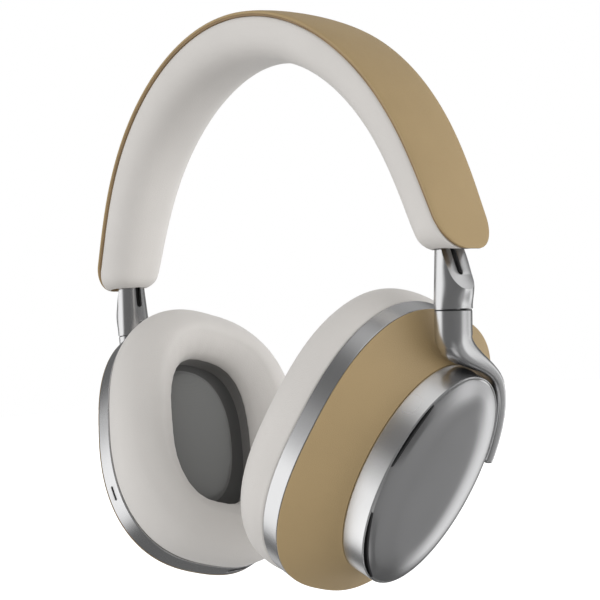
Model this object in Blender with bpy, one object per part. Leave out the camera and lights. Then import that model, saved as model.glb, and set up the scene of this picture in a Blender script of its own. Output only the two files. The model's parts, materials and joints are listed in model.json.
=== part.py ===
"""Over-ear wireless headphones: a padded arch headband, two sliding arms, two yokes and two oval ear cups.

Metres, +Z up. The origin is the underside of the headband cushion at its middle, where the head touches it.
The wearer faces -Y, so the left cup is at +X. Each cup is built in its own frame: X runs backwards, Y up and
Z outwards from the seam between the ear cushion and the cup, and the right side is the left side mirrored.
"""

import math

import bmesh
import bpy
from mathutils import Matrix, Vector

# Driving dimensions.
CUP_DROP = 0.1320  # from the head's crown down to the middle of the ear cups
CUP_REACH = 0.0452  # from the middle plane out to the seam behind each ear cushion
CUP_TILT = math.radians(25.2)  # how far the cups face downwards when nothing holds them apart
CUP_LEAN = math.radians(17.8)  # how far the top of each oval leans backwards, as ears do
GAP = 0.0004

# Headband: the arch is a circle bent by a few even harmonics: flatter on top and straight at the ends.
ARCH_RADIUS = 0.1245
ARCH_HARMONICS = (-0.0145, 0.0094, 0.0035, 0.001)
ARCH_END = 0.0588  # height of the band's ends above the middle of the cups
ARCH_STEPS = 44
BAND_HALF_WIDTH = 0.0125
BAND_WIDENING = 0.0026
END_BLEND = 0.020
COVER_THICKNESS = 0.0023
END_THINNING = 0.0011
CUSHION_THICKNESS = 0.0130
SPRING_HALF_WIDTH = 0.006
SPRING_THICKNESS = 0.0008
FRAME_HALF_WIDTH = 0.009
FRAME_THICKNESS = 0.0012
SPRING_SKIP = 0.026  # how far along the arch the spring stops short of the band's ends
FRAME_SKIP = 0.023
RECESS_DEPTH = 0.0032

# Sliding arms.
ARM_FOOT = Vector((0.0832, 0, 0.0410))  # middle of the seam between arm and yoke
ARM_TOP = Vector((0.0844, 0, 0.0602))
ARM_HALF_DEPTH = 0.0050  # across the head
ARM_HALF_WIDTH = 0.0060  # front to back
ARM_NARROWING = 0.0006  # how much less its half width is at the top
ARM_BULGE = 0.0013  # how far the outer face swells below the scoop
BULGE_REACH = 0.72  # share of the arm's height that the swelling takes
ARM_SQUARENESS = 2.3
ARM_STEPS = 9
SLOT_HALF_WIDTH = 0.0015
SLOT_FOOT = 0.0102  # height of the cable slot's lower end above the seam
SCREW_HEIGHT = 0.0039
SCREW_RADIUS = 0.0008
PIN_CLEARANCE = 0.0003
PIN_DEPTH = 0.0062  # how far the swivel pin reaches into the arm
SLIDE_ANGLE = math.radians(24)  # the rails follow the straight ends of the band
RAIL_LENGTH = 0.040
RAIL_HALF_WIDTH = 0.0035
RAIL_THICKNESS = 0.0012
RAIL_INSET = 0.0092  # from the band's end inwards to the rail
RAIL_RISE = 0.0040
RAIL_FOOT = -0.0022
SWIVEL_PIN_RADIUS = 0.0022
TILT_PIN_RADIUS = 0.0016

# The scoop's outline on the arm's outer face: outwards from the swivel axis, then up from the seam.
SCOOP = (
    (0.0066, 0.0056), (0.0056, 0.0072), (0.0044, 0.0090), (0.0034, 0.0107), (0.0023, 0.0132),
    (0.0009, 0.0166), (-0.0006, 0.0202), (0.0140, 0.0202), (0.0140, 0.0056),
)

# Cup ovals: half width, half height and how square the oval is.
CUP_OVAL = (0.0385, 0.0492, 2.5)
NECK_OVAL = (0.0228, 0.0362, 2.06)
RING_DEPTH = 0.0073
SHELL_DEPTH = 0.0185
COLLAR_DEPTH = 0.0264
PLATE_DEPTH = 0.0284
WALL = 0.002
OVAL_STEPS = 40
CUSHION_DEPTH = 0.0190
DRIVER_RADIUS = 0.0195
DRIVER_WINDOW = (0.0230, 0.0330, 2.3)
CONE_THICKNESS = 0.0006
BUTTON_ROOM = 0.0036  # how far the baffle keeps clear of the buttons in the rim
OPENING = (0.0220, 0.0320, 2.3)
YOKE_HALF_DEPTH = 0.0046
YOKE_HALF_WIDTH = 0.0055
YOKE_GAP = 0.0015
STRAP_HALF_THICKNESS = 0.0019
STRAP_HALF_WIDTH = 0.0045
STRAP_SQUARENESS = 3.6
STRAP_START, STRAP_END = math.radians(62), math.radians(16)
TILT_AXIS_ANGLE = math.radians(24)

# Buttons and openings in the rims, by their angle round the oval from its rear edge.
BUTTON_DEPTH = 0.0038
BUTTON_ANGLES = {
    "volume_up_button": math.radians(16),
    "play_button": 0.0,
    "volume_down_button": math.radians(-16),
}
BUTTON_HALF_WIDTH = 0.0014
BUTTON_HALF_LENGTH = 0.0030
ACTION_HALF_LENGTH = 0.0045
POWER_ANGLE = math.radians(-42)
POWER_TRAVEL = 0.0014
MICROPHONE_ANGLE = math.radians(207)
MICROPHONE_SIZE = (0.0005, 0.0026)
PORT_ANGLE = math.radians(-72)
PORT_SIZE = (0.0016, 0.0045)

SIDES = (("left", 1), ("right", -1))

TAN = ("tan_leather", (0.38, 0.27, 0.16), 0.55, 0.0)
GREY_LEATHER = ("grey_leather", (0.60, 0.58, 0.55), 0.6, 0.0)
SILVER = ("brushed_aluminium", (0.55, 0.55, 0.56), 0.3, 1.0)
STEEL = ("polished_steel", (0.6, 0.6, 0.6), 0.2, 1.0)
SPRING_STEEL = ("spring_steel", (0.35, 0.35, 0.37), 0.35, 1.0)
DARK_FABRIC = ("dark_mesh", (0.05, 0.05, 0.05), 0.9, 0.0)
PLASTIC = ("black_plastic", (0.03, 0.03, 0.03), 0.5, 0.0)
CARBON = ("driver_cone", (0.02, 0.02, 0.02), 0.4, 0.0)
GREEN_BOARD = ("circuit_board", (0.02, 0.12, 0.05), 0.5, 0.0)
BLUE_FOIL = ("battery_foil", (0.25, 0.27, 0.30), 0.4, 0.3)
RUBBER = ("cable_rubber", (0.015, 0.015, 0.015), 0.7, 0.0)


def clear_scene():
    for obj in list(bpy.data.objects):
        bpy.data.objects.remove(obj, do_unlink=True)


def new_collection(name):
    collection = bpy.data.collections.new(name)
    bpy.context.scene.collection.children.link(collection)
    return collection


def material(finish):
    name, colour, roughness, metallic = finish
    found = bpy.data.materials.get(name)
    if found:
        return found
    made = bpy.data.materials.new(name)
    made.use_nodes = True
    shader = made.node_tree.nodes["Principled BSDF"]
    shader.inputs["Base Color"].default_value = (*colour, 1)
    shader.inputs["Roughness"].default_value = roughness
    shader.inputs["Metallic"].default_value = metallic
    return made


def add_object(name, shape, finish, matrix=None, parent=None):
    """The bmesh as a named object in the parts collection, its mesh in the matrix's frame."""
    if matrix is not None:
        shape.transform(matrix)
    shape.normal_update()
    bmesh.ops.recalc_face_normals(shape, faces=shape.faces)
    mesh = bpy.data.meshes.new(name)
    shape.to_mesh(mesh)
    shape.free()
    mesh.shade_smooth()
    mesh.set_sharp_from_angle(angle=math.radians(35))
    obj = bpy.data.objects.new(name, mesh)
    if finish is None:
        CUTTERS.objects.link(obj)
        obj.hide_render = True
        obj.display_type = "WIRE"
        return obj
    mesh.materials.append(material(finish))
    PARTS.objects.link(obj)
    if parent:
        obj.parent = parent
        obj.matrix_parent_inverse = parent.matrix_world.inverted()
    return obj


def add_pivot(name, position, parent=None):
    """An empty on a joint's axis, which carries the pieces that move with it."""
    pivot = bpy.data.objects.new(name, None)
    pivot.empty_display_size = 0.01
    PARTS.objects.link(pivot)
    pivot.matrix_world = Matrix.Translation(position)
    if parent:
        pivot.parent = parent
        pivot.matrix_parent_inverse = parent.matrix_world.inverted()
    bpy.context.view_layer.update()
    return pivot


def cut(obj, shape, matrix=None):
    """Cuts the bmesh's shape out of the object."""
    cutter = add_object(f"{obj.name}_cutter_{len(obj.modifiers)}", shape, None, matrix)
    boolean = obj.modifiers.new("Cut", "BOOLEAN")
    boolean.operation = "DIFFERENCE"
    boolean.object = cutter
    return cutter


def loft(sections, ring=False):
    """A closed skin over sections of equal length, with end caps, or joined end to end as a ring."""
    shape = bmesh.new()
    rows = [[shape.verts.new(point) for point in section] for section in sections]
    spans = list(zip(rows, rows[1:] + rows[:1]))
    for first, second in spans if ring else spans[:-1]:
        for i in range(len(first)):
            shape.faces.new((first[i - 1], first[i], second[i], second[i - 1]))
    if not ring:
        shape.faces.new(rows[0])
        shape.faces.new(rows[-1])
    return shape


def oval(half_width, half_height, squareness, depth, steps=OVAL_STEPS):
    """Points of a superellipse at one depth."""
    points = []
    for i in range(steps):
        c, s = math.cos(math.tau * i / steps), math.sin(math.tau * i / steps)
        x = half_width * math.copysign(abs(c) ** (2 / squareness), c)
        y = half_height * math.copysign(abs(s) ** (2 / squareness), s)
        points.append(Vector((x, y, depth)))
    return points


def inset_oval(base, inset, depth):
    half_width, half_height, squareness = base
    return oval(half_width - inset, half_height - inset, squareness, depth)


def mixed_oval(first, second, share, inset, depth):
    """An oval part of the way between two others."""
    half_width, half_height, squareness = (a + (b - a) * share for a, b in zip(first, second))
    return oval(half_width - inset, half_height - inset, squareness, depth)


def box(low, high):
    shape = bmesh.new()
    bmesh.ops.create_cube(shape, size=1)
    size = Vector(high) - Vector(low)
    place = Matrix.Translation((Vector(high) + Vector(low)) / 2) @ Matrix.Diagonal(size).to_4x4()
    bmesh.ops.transform(shape, matrix=place, verts=shape.verts)
    return shape


def rounded_box(low, high, radius, segments=2):
    """A box whose edges along Z are rounded."""
    shape = box(low, high)
    upright = [e for e in shape.edges if abs((e.verts[0].co - e.verts[1].co).normalized().z) > 0.9]
    bmesh.ops.bevel(shape, geom=upright, offset=radius, segments=segments, affect="EDGES", profile=0.5)
    return shape


def cylinder(radius, low, high, steps=24):
    shape = bmesh.new()
    bmesh.ops.create_cone(
        shape, cap_ends=True, segments=steps, radius1=radius, radius2=radius, depth=high - low,
        matrix=Matrix.Translation((0, 0, (low + high) / 2)),
    )
    return shape


def frame_from(origin, z_axis, x_hint):
    """The matrix of a frame at origin whose Z is z_axis and whose X lies nearest x_hint."""
    z = Vector(z_axis).normalized()
    x = (Vector(x_hint) - z * z.dot(Vector(x_hint))).normalized()
    y = z.cross(x)
    return Matrix.Translation(origin) @ Matrix((x, y, z)).transposed().to_4x4()


def row(point):
    """A point given from the middle of the cups, in the part's own frame."""
    return Vector(point) - Vector((0, 0, CUP_DROP))


def mirror(side):
    return Matrix.Diagonal((side, 1, 1, 1))


# The headband's arch.


def arch_point(angle):
    radius = ARCH_RADIUS + sum(h * math.cos(2 * (i + 1) * angle) for i, h in enumerate(ARCH_HARMONICS))
    return Vector((radius * math.cos(angle), 0, radius * math.sin(angle)))


def arch_end_angle():
    """The angle at which the arch comes down to its end height."""
    low, high = math.radians(20), math.radians(60)
    for _ in range(40):
        middle = (low + high) / 2
        low, high = (middle, high) if arch_point(middle).z < ARCH_END else (low, middle)
    return low


def band_half_width(angle):
    return BAND_HALF_WIDTH - BAND_WIDENING * math.cos(2 * angle)


def arch_frame(angle):
    """The arch's point and outward direction, which turns level at the ends to cut the band off level."""
    step = 0.002
    tangent = (arch_point(angle + step) - arch_point(angle - step)).normalized()
    outward = Vector((tangent.z, 0, -tangent.x))
    point = arch_point(angle)
    share = max(0, 1 - (point.z - ARCH_END) / END_BLEND)
    level = Vector((math.copysign(1, point.x), 0, 0))
    return point, outward.lerp(level, share * share).normalized()


def arch_angles(skip=0.0):
    """Angles from end to end, closer together near the ends, leaving out a height at each end."""
    start = arch_end_angle() + skip / ARCH_RADIUS
    reach = math.pi / 2 - start
    shares = [math.sin(math.pi / 2 * (2 * i / ARCH_STEPS - 1)) for i in range(ARCH_STEPS + 1)]
    return [math.pi / 2 + reach * share for share in shares]


def arch_loft(outline, skip=0.0):
    """A loft along the arch. outline gives, for an angle, points as (across, outward of the arch)."""
    sections = []
    for angle in arch_angles(skip):
        point, outward = arch_frame(angle)
        section = [row(point + outward * out + Vector((0, across, 0))) for across, out in outline(angle)]
        sections.append(section)
    return loft(sections)


def corner_inset(angle, radius):
    """How far a rounded end of this corner radius has drawn in at this angle."""
    rise = arch_point(angle).z - ARCH_END
    if rise >= radius:
        return 0
    return radius - math.sqrt(max(0, radius**2 - (radius - rise) ** 2))


def cover_outline(angle):
    half = band_half_width(angle) - 0.8 * corner_inset(angle, 0.007)
    rise = arch_point(angle).z - ARCH_END
    top = COVER_THICKNESS - END_THINNING * max(0, 1 - rise / END_BLEND)
    upper = [(half, 0.35 * top), (0.93 * half, 0.8 * top), (0.5 * half, 0.97 * top), (0, top)]
    return upper + [(-y, z) for y, z in upper[-2::-1]] + [(-half + 0.0004, 0), (half - 0.0004, 0)]


def cushion_outline(angle):
    half = band_half_width(angle) - 0.0003 - 0.6 * corner_inset(angle, 0.007)
    deep = CUSHION_THICKNESS - 0.4 * corner_inset(angle, 0.005)
    shelf = min(FRAME_HALF_WIDTH + GAP, half - 0.0012)
    lower = [(shelf, -RECESS_DEPTH), (shelf, -GAP), (half - 0.0004, -GAP), (half, -0.28 * deep)]
    lower += [(half - 0.0012, -0.56 * deep), (half - 0.004, -0.80 * deep)]
    lower += [(0.4 * half, -0.96 * deep), (0, -deep)]
    return lower + [(-y, z) for y, z in lower[-2::-1]]


def strip_outline(half_width, top, thickness):
    low = top - thickness

    def outline(_):
        return [(half_width, top), (-half_width, top), (-half_width, low), (half_width, low)]

    return outline


def slide_direction():
    return Vector((math.sin(SLIDE_ANGLE), 0, -math.cos(SLIDE_ANGLE)))


def rail_frame():
    """The rail's frame: Z up along the rail from the band's end, X outward across it."""
    end, _ = arch_frame(arch_end_angle())
    start = end + Vector((-RAIL_INSET, 0, RAIL_RISE))
    return frame_from(row(start), -slide_direction(), (1, 0, 0))


def build_headband():
    add_object("headband_cover", arch_loft(cover_outline), TAN)
    spring_top = -GAP
    frame_top = spring_top - SPRING_THICKNESS - GAP
    spring = arch_loft(strip_outline(SPRING_HALF_WIDTH, spring_top, SPRING_THICKNESS), SPRING_SKIP)
    add_object("headband_spring", spring, SPRING_STEEL)
    frame = arch_loft(strip_outline(FRAME_HALF_WIDTH, frame_top, FRAME_THICKNESS), FRAME_SKIP)
    add_object("headband_frame", frame, PLASTIC)
    cushion = add_object("headband_cushion", arch_loft(cushion_outline), GREY_LEATHER)
    for side_name, side in SIDES:
        place = mirror(side) @ rail_frame()
        guide_pocket = box((-0.0034, -0.0072, -0.012), (0.0092, 0.0072, 0.0125))
        rail_pocket = box((-0.0016, -0.0042, 0.010), (0.0072, 0.0042, RAIL_LENGTH + 0.003))
        arm_pocket = box((-0.0062, -0.0069, 0.015), (0.0095, 0.0069, 0.0212))
        cut(cushion, guide_pocket, place)
        cut(cushion, rail_pocket, place)
        cut(cushion, arm_pocket, mirror(side) @ arm_frame())
        guide = box((-0.0026, -0.0066, 0.0045), (0.0020, 0.0066, 0.0115))
        guide = add_object(f"{side_name}_slider_guide", guide, PLASTIC, place)
        cut(guide, box((-0.0010, -0.0039, 0), (0.0010, 0.0039, 0.02)), place)


# Sliding arms.


def arm_axis():
    return (ARM_TOP - ARM_FOOT).normalized()


def arm_frame():
    """The frame of the swivel: Z points up the arm from the seam."""
    return frame_from(row(ARM_FOOT), arm_axis(), (1, 0, 0))


def arm_section(share):
    """A section of the arm at a share of its height, fuller on the outer face below the scoop."""
    middle = ARM_FOOT.lerp(ARM_TOP, share)
    bulge = ARM_BULGE * math.sin(math.pi * min(1, share / BULGE_REACH)) ** 2
    half_width = ARM_HALF_WIDTH - ARM_NARROWING * share
    points = []
    for p in oval(ARM_HALF_DEPTH, half_width, ARM_SQUARENESS, 0, 24):
        fuller = bulge * max(0, p.x) / ARM_HALF_DEPTH
        points.append(row(middle + Vector((p.x + fuller, p.y, 0))))
    return points


def extruded(outline, half_width):
    """An outline in X and Z made a solid by its half width along Y."""
    return loft([[Vector((x, y, z)) for x, z in outline] for y in (-half_width, half_width)])


def slot_outline(half_width, low, high, steps=6):
    """A slot's outline in Y and Z with a round lower end."""
    turns = [math.pi + math.pi * i / steps for i in range(steps + 1)]
    outline = [(half_width * math.cos(a), low + half_width * (1 + math.sin(a))) for a in turns]
    return outline + [(half_width, high), (-half_width, high)]


def build_arm(side_name, side, pivot):
    flip = mirror(side)
    axis_frame = flip @ arm_frame()
    sections = [arm_section(i / ARM_STEPS) for i in range(ARM_STEPS + 1)]
    arm = add_object(f"{side_name}_slider_arm", loft(sections), SILVER, flip, pivot)
    length = (ARM_TOP - ARM_FOOT).length
    cut(arm, extruded(SCOOP, 0.010), axis_frame)
    slot = slot_outline(SLOT_HALF_WIDTH, SLOT_FOOT, length + 0.004)
    cut(arm, loft([[Vector((x, y, z)) for y, z in slot] for x in (-0.01, 0.01)]), axis_frame)
    cut(arm, cylinder(SWIVEL_PIN_RADIUS + PIN_CLEARANCE, -0.001, PIN_DEPTH + PIN_CLEARANCE), axis_frame)
    screw_place = Matrix.Translation((-0.0058, 0, SCREW_HEIGHT)) @ Matrix.Rotation(math.pi / 2, 4, "Y")
    screw_place = axis_frame @ screw_place
    cut(arm, cylinder(SCREW_RADIUS + PIN_CLEARANCE, -0.001, 0.0024, 12), screw_place)
    screw = cylinder(SCREW_RADIUS, 0.0010, 0.0021, 12)
    add_object(f"{side_name}_arm_screw", screw, STEEL, screw_place, pivot)
    cable = box((-0.0034, -0.0010, SLOT_FOOT + 0.0006), (-0.0012, 0.0010, length - 0.0003))
    add_object(f"{side_name}_arm_cable", cable, RUBBER, axis_frame, pivot)
    low = (-RAIL_THICKNESS / 2, -RAIL_HALF_WIDTH, RAIL_FOOT)
    high = (RAIL_THICKNESS / 2, RAIL_HALF_WIDTH, RAIL_LENGTH)
    rail = rounded_box(low, high, 0.0002, 1)
    add_object(f"{side_name}_slider_rail", rail, SPRING_STEEL, flip @ rail_frame(), pivot)
    pin = cylinder(SWIVEL_PIN_RADIUS, -0.0055, PIN_DEPTH)
    add_object(f"{side_name}_swivel_pin", pin, STEEL, axis_frame, pivot)


# Yokes: a cast arm that leaves the swivel round, turns backwards and becomes a strap round the cup's collar.


def cup_axes():
    outward = Vector((math.cos(CUP_TILT), 0, -math.sin(CUP_TILT)))
    upward = Vector((math.sin(CUP_TILT), 0, math.cos(CUP_TILT)))
    back = Vector((0, 1, 0))
    across = math.cos(CUP_LEAN) * back - math.sin(CUP_LEAN) * upward
    along = math.sin(CUP_LEAN) * back + math.cos(CUP_LEAN) * upward
    return across, along, outward


def cup_frame():
    axes = Matrix(cup_axes()).transposed().to_4x4()
    return Matrix.Translation(row((CUP_REACH, 0, 0))) @ axes


def strap_point(angle, depth=0.0224):
    """A point of the strap's middle line, an oval a little outside the collar."""
    reach = YOKE_GAP + STRAP_HALF_THICKNESS
    return Vector(((NECK_OVAL[0] + reach) * math.cos(angle), (NECK_OVAL[1] + reach) * math.sin(angle), depth))


def yoke_path():
    """Points of the yoke's middle line, with the half thickness and half width there."""
    frame = cup_frame()
    strap = [frame @ strap_point(STRAP_START + (STRAP_END - STRAP_START) * i / 9) for i in range(10)]
    foot = row(ARM_FOOT) - arm_axis() * GAP
    elbow = foot - arm_axis() * 0.0070
    low_handle = elbow - arm_axis() * 0.0080
    high_handle = strap[0] - (strap[1] - strap[0]).normalized() * 0.0105
    turn = []
    for i in range(9):
        t = i / 9
        turn.append(
            elbow * (1 - t) ** 3 + low_handle * 3 * t * (1 - t) ** 2
            + high_handle * 3 * t * t * (1 - t) + strap[0] * t**3
        )
    points = [foot] + turn + strap
    sizes = []
    for i in range(len(points)):
        share = min(1, max(0, (i - 1) / 8))
        ease = math.sin(math.pi / 2 * share)
        thick = YOKE_HALF_WIDTH + (STRAP_HALF_THICKNESS - YOKE_HALF_WIDTH) * ease
        wide = YOKE_HALF_DEPTH + (STRAP_HALF_WIDTH - YOKE_HALF_DEPTH) * ease
        sizes.append((thick, wide, ARM_SQUARENESS + (STRAP_SQUARENESS - ARM_SQUARENESS) * ease))
    return points, sizes


def build_yoke(side_name, side, pivot):
    flip = mirror(side)
    points, sizes = yoke_path()
    outward = cup_axes()[2]
    sections = []
    for i, (point, (thick, wide, squareness)) in enumerate(zip(points, sizes)):
        if i == 0:
            tangent = -arm_axis()
        else:
            tangent = (points[min(i + 1, len(points) - 1)] - points[i - 1]).normalized()
        hint = Vector((1, 0, 0)).lerp(outward, min(1, i / 10))
        place = frame_from(point, tangent, hint)
        sections.append([place @ p for p in oval(wide, thick, squareness, 0, 20)])
    yoke = add_object(f"{side_name}_yoke", loft(sections), SILVER, flip, pivot)
    cut(yoke, cylinder(SWIVEL_PIN_RADIUS + PIN_CLEARANCE, -0.0062, 0.002), flip @ arm_frame())
    cut(yoke, cylinder(TILT_PIN_RADIUS + PIN_CLEARANCE, -0.004, 0.004, 16), flip @ tilt_frame())


def tilt_frame():
    """The frame of the tilt pin: Z points backwards out of the cup's collar through the end of the strap."""
    half_width, half_height, _ = NECK_OVAL
    normal = Vector((math.cos(TILT_AXIS_ANGLE) / half_width, math.sin(TILT_AXIS_ANGLE) / half_height, 0))
    frame = cup_frame()
    return frame_from(frame @ strap_point(TILT_AXIS_ANGLE), frame.to_3x3() @ normal, cup_axes()[2])


# Ear cups.


def ring_of(base, profile):
    """A closed ring from a profile of insets and depths on one oval."""
    return loft([inset_oval(base, inset, depth) for inset, depth in profile], ring=True)


def build_cup_shells(side_name, place, pivot):
    pad = [(0.0004, -GAP), (0.0, -0.004), (0.0006, -0.0100), (0.0030, -0.0158), (0.0078, -CUSHION_DEPTH)]
    hollow = [(-0.0046, -CUSHION_DEPTH), (-0.0014, -0.0170), (0.0, -0.012), (0.0, -GAP)]
    sections = [inset_oval(CUP_OVAL, inset, depth) for inset, depth in pad]
    sections += [inset_oval(OPENING, inset, depth) for inset, depth in hollow]
    add_object(f"{side_name}_ear_cushion", loft(sections, ring=True), GREY_LEATHER, place, pivot)

    ring_top = RING_DEPTH - GAP
    ring = ring_of(CUP_OVAL, [(0.0002, GAP), (0.0, 0.0009), (0.0, ring_top), (WALL, ring_top), (WALL, GAP)])
    inner_ring = add_object(f"{side_name}_inner_ring", ring, SILVER, place, pivot)

    shell_top = SHELL_DEPTH - GAP
    shell = [(0.0, 0.0, RING_DEPTH), (0.02, 0.0, 0.0080), (0.35, 0.0, 0.0110), (0.70, 0.0, 0.0147)]
    shell += [(1.0, 0.0, shell_top), (1.0, WALL, shell_top)]
    shell += [(0.70, WALL, 0.0138), (0.35, WALL, 0.0100), (0.0, WALL, RING_DEPTH)]
    sections = [mixed_oval(CUP_OVAL, NECK_OVAL, *p) for p in shell]
    add_object(f"{side_name}_cup_shell", loft(sections, ring=True), TAN, place, pivot)

    collar = [(0.0, SHELL_DEPTH), (0.0004, COLLAR_DEPTH - 0.0012), (0.0013, COLLAR_DEPTH)]
    collar += [(0.0026, COLLAR_DEPTH), (0.0026, COLLAR_DEPTH - 0.002), (WALL, COLLAR_DEPTH - 0.002)]
    collar += [(WALL, SHELL_DEPTH)]
    outer_ring = add_object(f"{side_name}_outer_ring", ring_of(NECK_OVAL, collar), SILVER, place, pivot)

    plate = [(0.0024, COLLAR_DEPTH + GAP), (0.0010, COLLAR_DEPTH + 0.0005), (0.0010, COLLAR_DEPTH + 0.0010)]
    plate += [(0.0026, COLLAR_DEPTH + 0.0016), (0.0070, PLATE_DEPTH), (0.0150, PLATE_DEPTH + 0.0002)]
    sections = [inset_oval(NECK_OVAL, inset, depth) for inset, depth in plate]
    add_object(f"{side_name}_outer_plate", loft(sections), SILVER, place, pivot)
    return inner_ring, outer_ring


def disc(base, inset, low, high):
    return loft([inset_oval(base, inset, low), inset_oval(base, inset, high)])


def annulus(base, outer_inset, hole, low, high):
    outer = [inset_oval(base, outer_inset, z) for z in (low, high)]
    inner = [oval(*hole, z) for z in (high, low)]
    return loft(outer + inner, ring=True)


def build_driver(side_name, place, pivot):
    clearance = WALL + GAP
    mount = annulus(CUP_OVAL, clearance, DRIVER_WINDOW, 0.0005, 0.0020)
    add_object(f"{side_name}_cushion_plate", mount, PLASTIC, place, pivot)
    cloth = disc(OPENING, GAP, -0.0020, -0.0014)
    add_object(f"{side_name}_ear_mesh", cloth, DARK_FABRIC, place, pivot)
    hole = (DRIVER_RADIUS + GAP, DRIVER_RADIUS + GAP, 2)
    baffle = annulus(CUP_OVAL, clearance + BUTTON_ROOM, hole, 0.0027, 0.0043)
    add_object(f"{side_name}_baffle", baffle, PLASTIC, place, pivot)
    basket = [(DRIVER_RADIUS, 0.0030), (DRIVER_RADIUS, 0.0055), (DRIVER_RADIUS - 0.004, 0.0100)]
    basket += [(0.0060, 0.0100), (0.0060, 0.0086), (DRIVER_RADIUS - 0.005, 0.0086)]
    basket += [(DRIVER_RADIUS - 0.0020, 0.0052), (DRIVER_RADIUS - 0.0020, 0.0030)]
    sections = [oval(radius, radius, 2, depth) for radius, depth in basket]
    add_object(f"{side_name}_driver_frame", loft(sections, ring=True), PLASTIC, place, pivot)
    cone = [(0.0015, 0.0045), (0.0060, 0.0050), (0.0090, 0.0060), (DRIVER_RADIUS - 0.0025, 0.0032)]
    sections = [oval(radius, radius, 2, depth, 24) for radius, depth in cone]
    sections += [oval(radius, radius, 2, depth + CONE_THICKNESS, 24) for radius, depth in cone[::-1]]
    add_object(f"{side_name}_driver_cone", loft(sections), CARBON, place, pivot)
    board = rounded_box((-0.016, -0.022, 0.0120), (0.016, 0.022, 0.0132), 0.006)
    add_object(f"{side_name}_circuit_board", board, GREEN_BOARD, place, pivot)


def rim_frame(angle, depth):
    """A frame on the inner ring's outer surface: Z points out of it and X along the cup's depth."""
    half_width, half_height, squareness = CUP_OVAL
    step = 0.001

    def at(a):
        c, s = math.cos(a), math.sin(a)
        x = half_width * math.copysign(abs(c) ** (2 / squareness), c)
        return Vector((x, half_height * math.copysign(abs(s) ** (2 / squareness), s), depth))

    tangent = (at(angle + step) - at(angle - step)).normalized()
    return frame_from(at(angle), tangent.cross(Vector((0, 0, 1))), (0, 0, 1))


def pill(half_width, half_length, low, high):
    """A rounded slab for a button or its hole: X across, Y along, Z out."""
    corner = half_width * 0.95
    return rounded_box((-half_width, -half_length, low), (half_width, half_length, high), corner, 3)


def build_button(name, angle, half_length, place, pivot, inner_ring, travel_room=0.0):
    frame = place @ rim_frame(angle, BUTTON_DEPTH)
    hole = pill(BUTTON_HALF_WIDTH + 0.0003, half_length + 0.0003 + travel_room, -0.004, 0.004)
    cut(inner_ring, hole, frame)
    button_pivot = add_pivot(f"{name}_pivot", frame.translation, pivot)
    add_object(name, pill(BUTTON_HALF_WIDTH, half_length, -0.0026, 0.0006), SILVER, frame, button_pivot)


def build_tilt_pin(side_name, side, pivot, outer_ring):
    place = mirror(side) @ tilt_frame()
    cut(outer_ring, cylinder(TILT_PIN_RADIUS + PIN_CLEARANCE, -0.012, 0.001, 16), place)
    add_object(f"{side_name}_tilt_pin", cylinder(TILT_PIN_RADIUS, -0.0062, 0.0014, 16), STEEL, place, pivot)


def build_charging_port(place, pivot, inner_ring):
    half_width, half_length = PORT_SIZE
    frame = place @ rim_frame(PORT_ANGLE, BUTTON_DEPTH)
    cut(inner_ring, pill(half_width + 0.0003, half_length + 0.0003, -0.006, 0.004), frame)
    port = add_object("charging_port", pill(half_width, half_length, -0.0052, -0.0004), STEEL, frame, pivot)
    cut(port, pill(half_width - GAP, half_length - GAP, -0.0044, 0.002), frame)


def build_cup(side_name, side, pivot):
    place = mirror(side) @ cup_frame()
    inner_ring, outer_ring = build_cup_shells(side_name, place, pivot)
    build_driver(side_name, place, pivot)
    build_tilt_pin(side_name, side, pivot, outer_ring)
    if side_name == "left":
        build_button("action_button", 0.0, ACTION_HALF_LENGTH, place, pivot, inner_ring)
        return
    for name, angle in BUTTON_ANGLES.items():
        build_button(name, angle, BUTTON_HALF_LENGTH, place, pivot, inner_ring)
    build_button("power_slider", POWER_ANGLE, BUTTON_HALF_LENGTH, place, pivot, inner_ring, POWER_TRAVEL)
    microphone = pill(*MICROPHONE_SIZE, -0.004, 0.004)
    cut(inner_ring, microphone, place @ rim_frame(MICROPHONE_ANGLE, BUTTON_DEPTH))
    build_charging_port(place, pivot, inner_ring)
    battery = rounded_box((-0.010, -0.018, 0.0155), (0.010, 0.018, 0.0195), 0.002)
    add_object("battery", battery, BLUE_FOIL, place, pivot)


def main():
    build_headband()
    for side_name, side in SIDES:
        flip = mirror(side)
        slide_pivot = add_pivot(f"{side_name}_slide_pivot", flip @ rail_frame().translation)
        swivel_pivot = add_pivot(f"{side_name}_swivel_pivot", flip @ row(ARM_FOOT), slide_pivot)
        tilt_pivot = add_pivot(f"{side_name}_tilt_pivot", flip @ tilt_frame().translation, swivel_pivot)
        build_arm(side_name, side, slide_pivot)
        build_yoke(side_name, side, swivel_pivot)
        build_cup(side_name, side, tilt_pivot)


clear_scene()
PARTS = new_collection("over_ear_headphones")
CUTTERS = new_collection("cutters")
CUTTERS.hide_render = True
main()
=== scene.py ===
"""The looks of the over-ear headphones: shells, cushions, cast arms and every material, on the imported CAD.

Metres, in the CAD's frame. The wearer faces -Y, the left cup is at +X, and the right side mirrors the left.
Cup pieces are made in the cup's own frame: X backwards, Y up and Z outwards from the seam behind the cushion.
An oval is given as its half width, its half height and its squareness, a superellipse's exponent.
"""

import json
import math

import bmesh
import bpy
from mathutils import Matrix, Vector, noise

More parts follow.
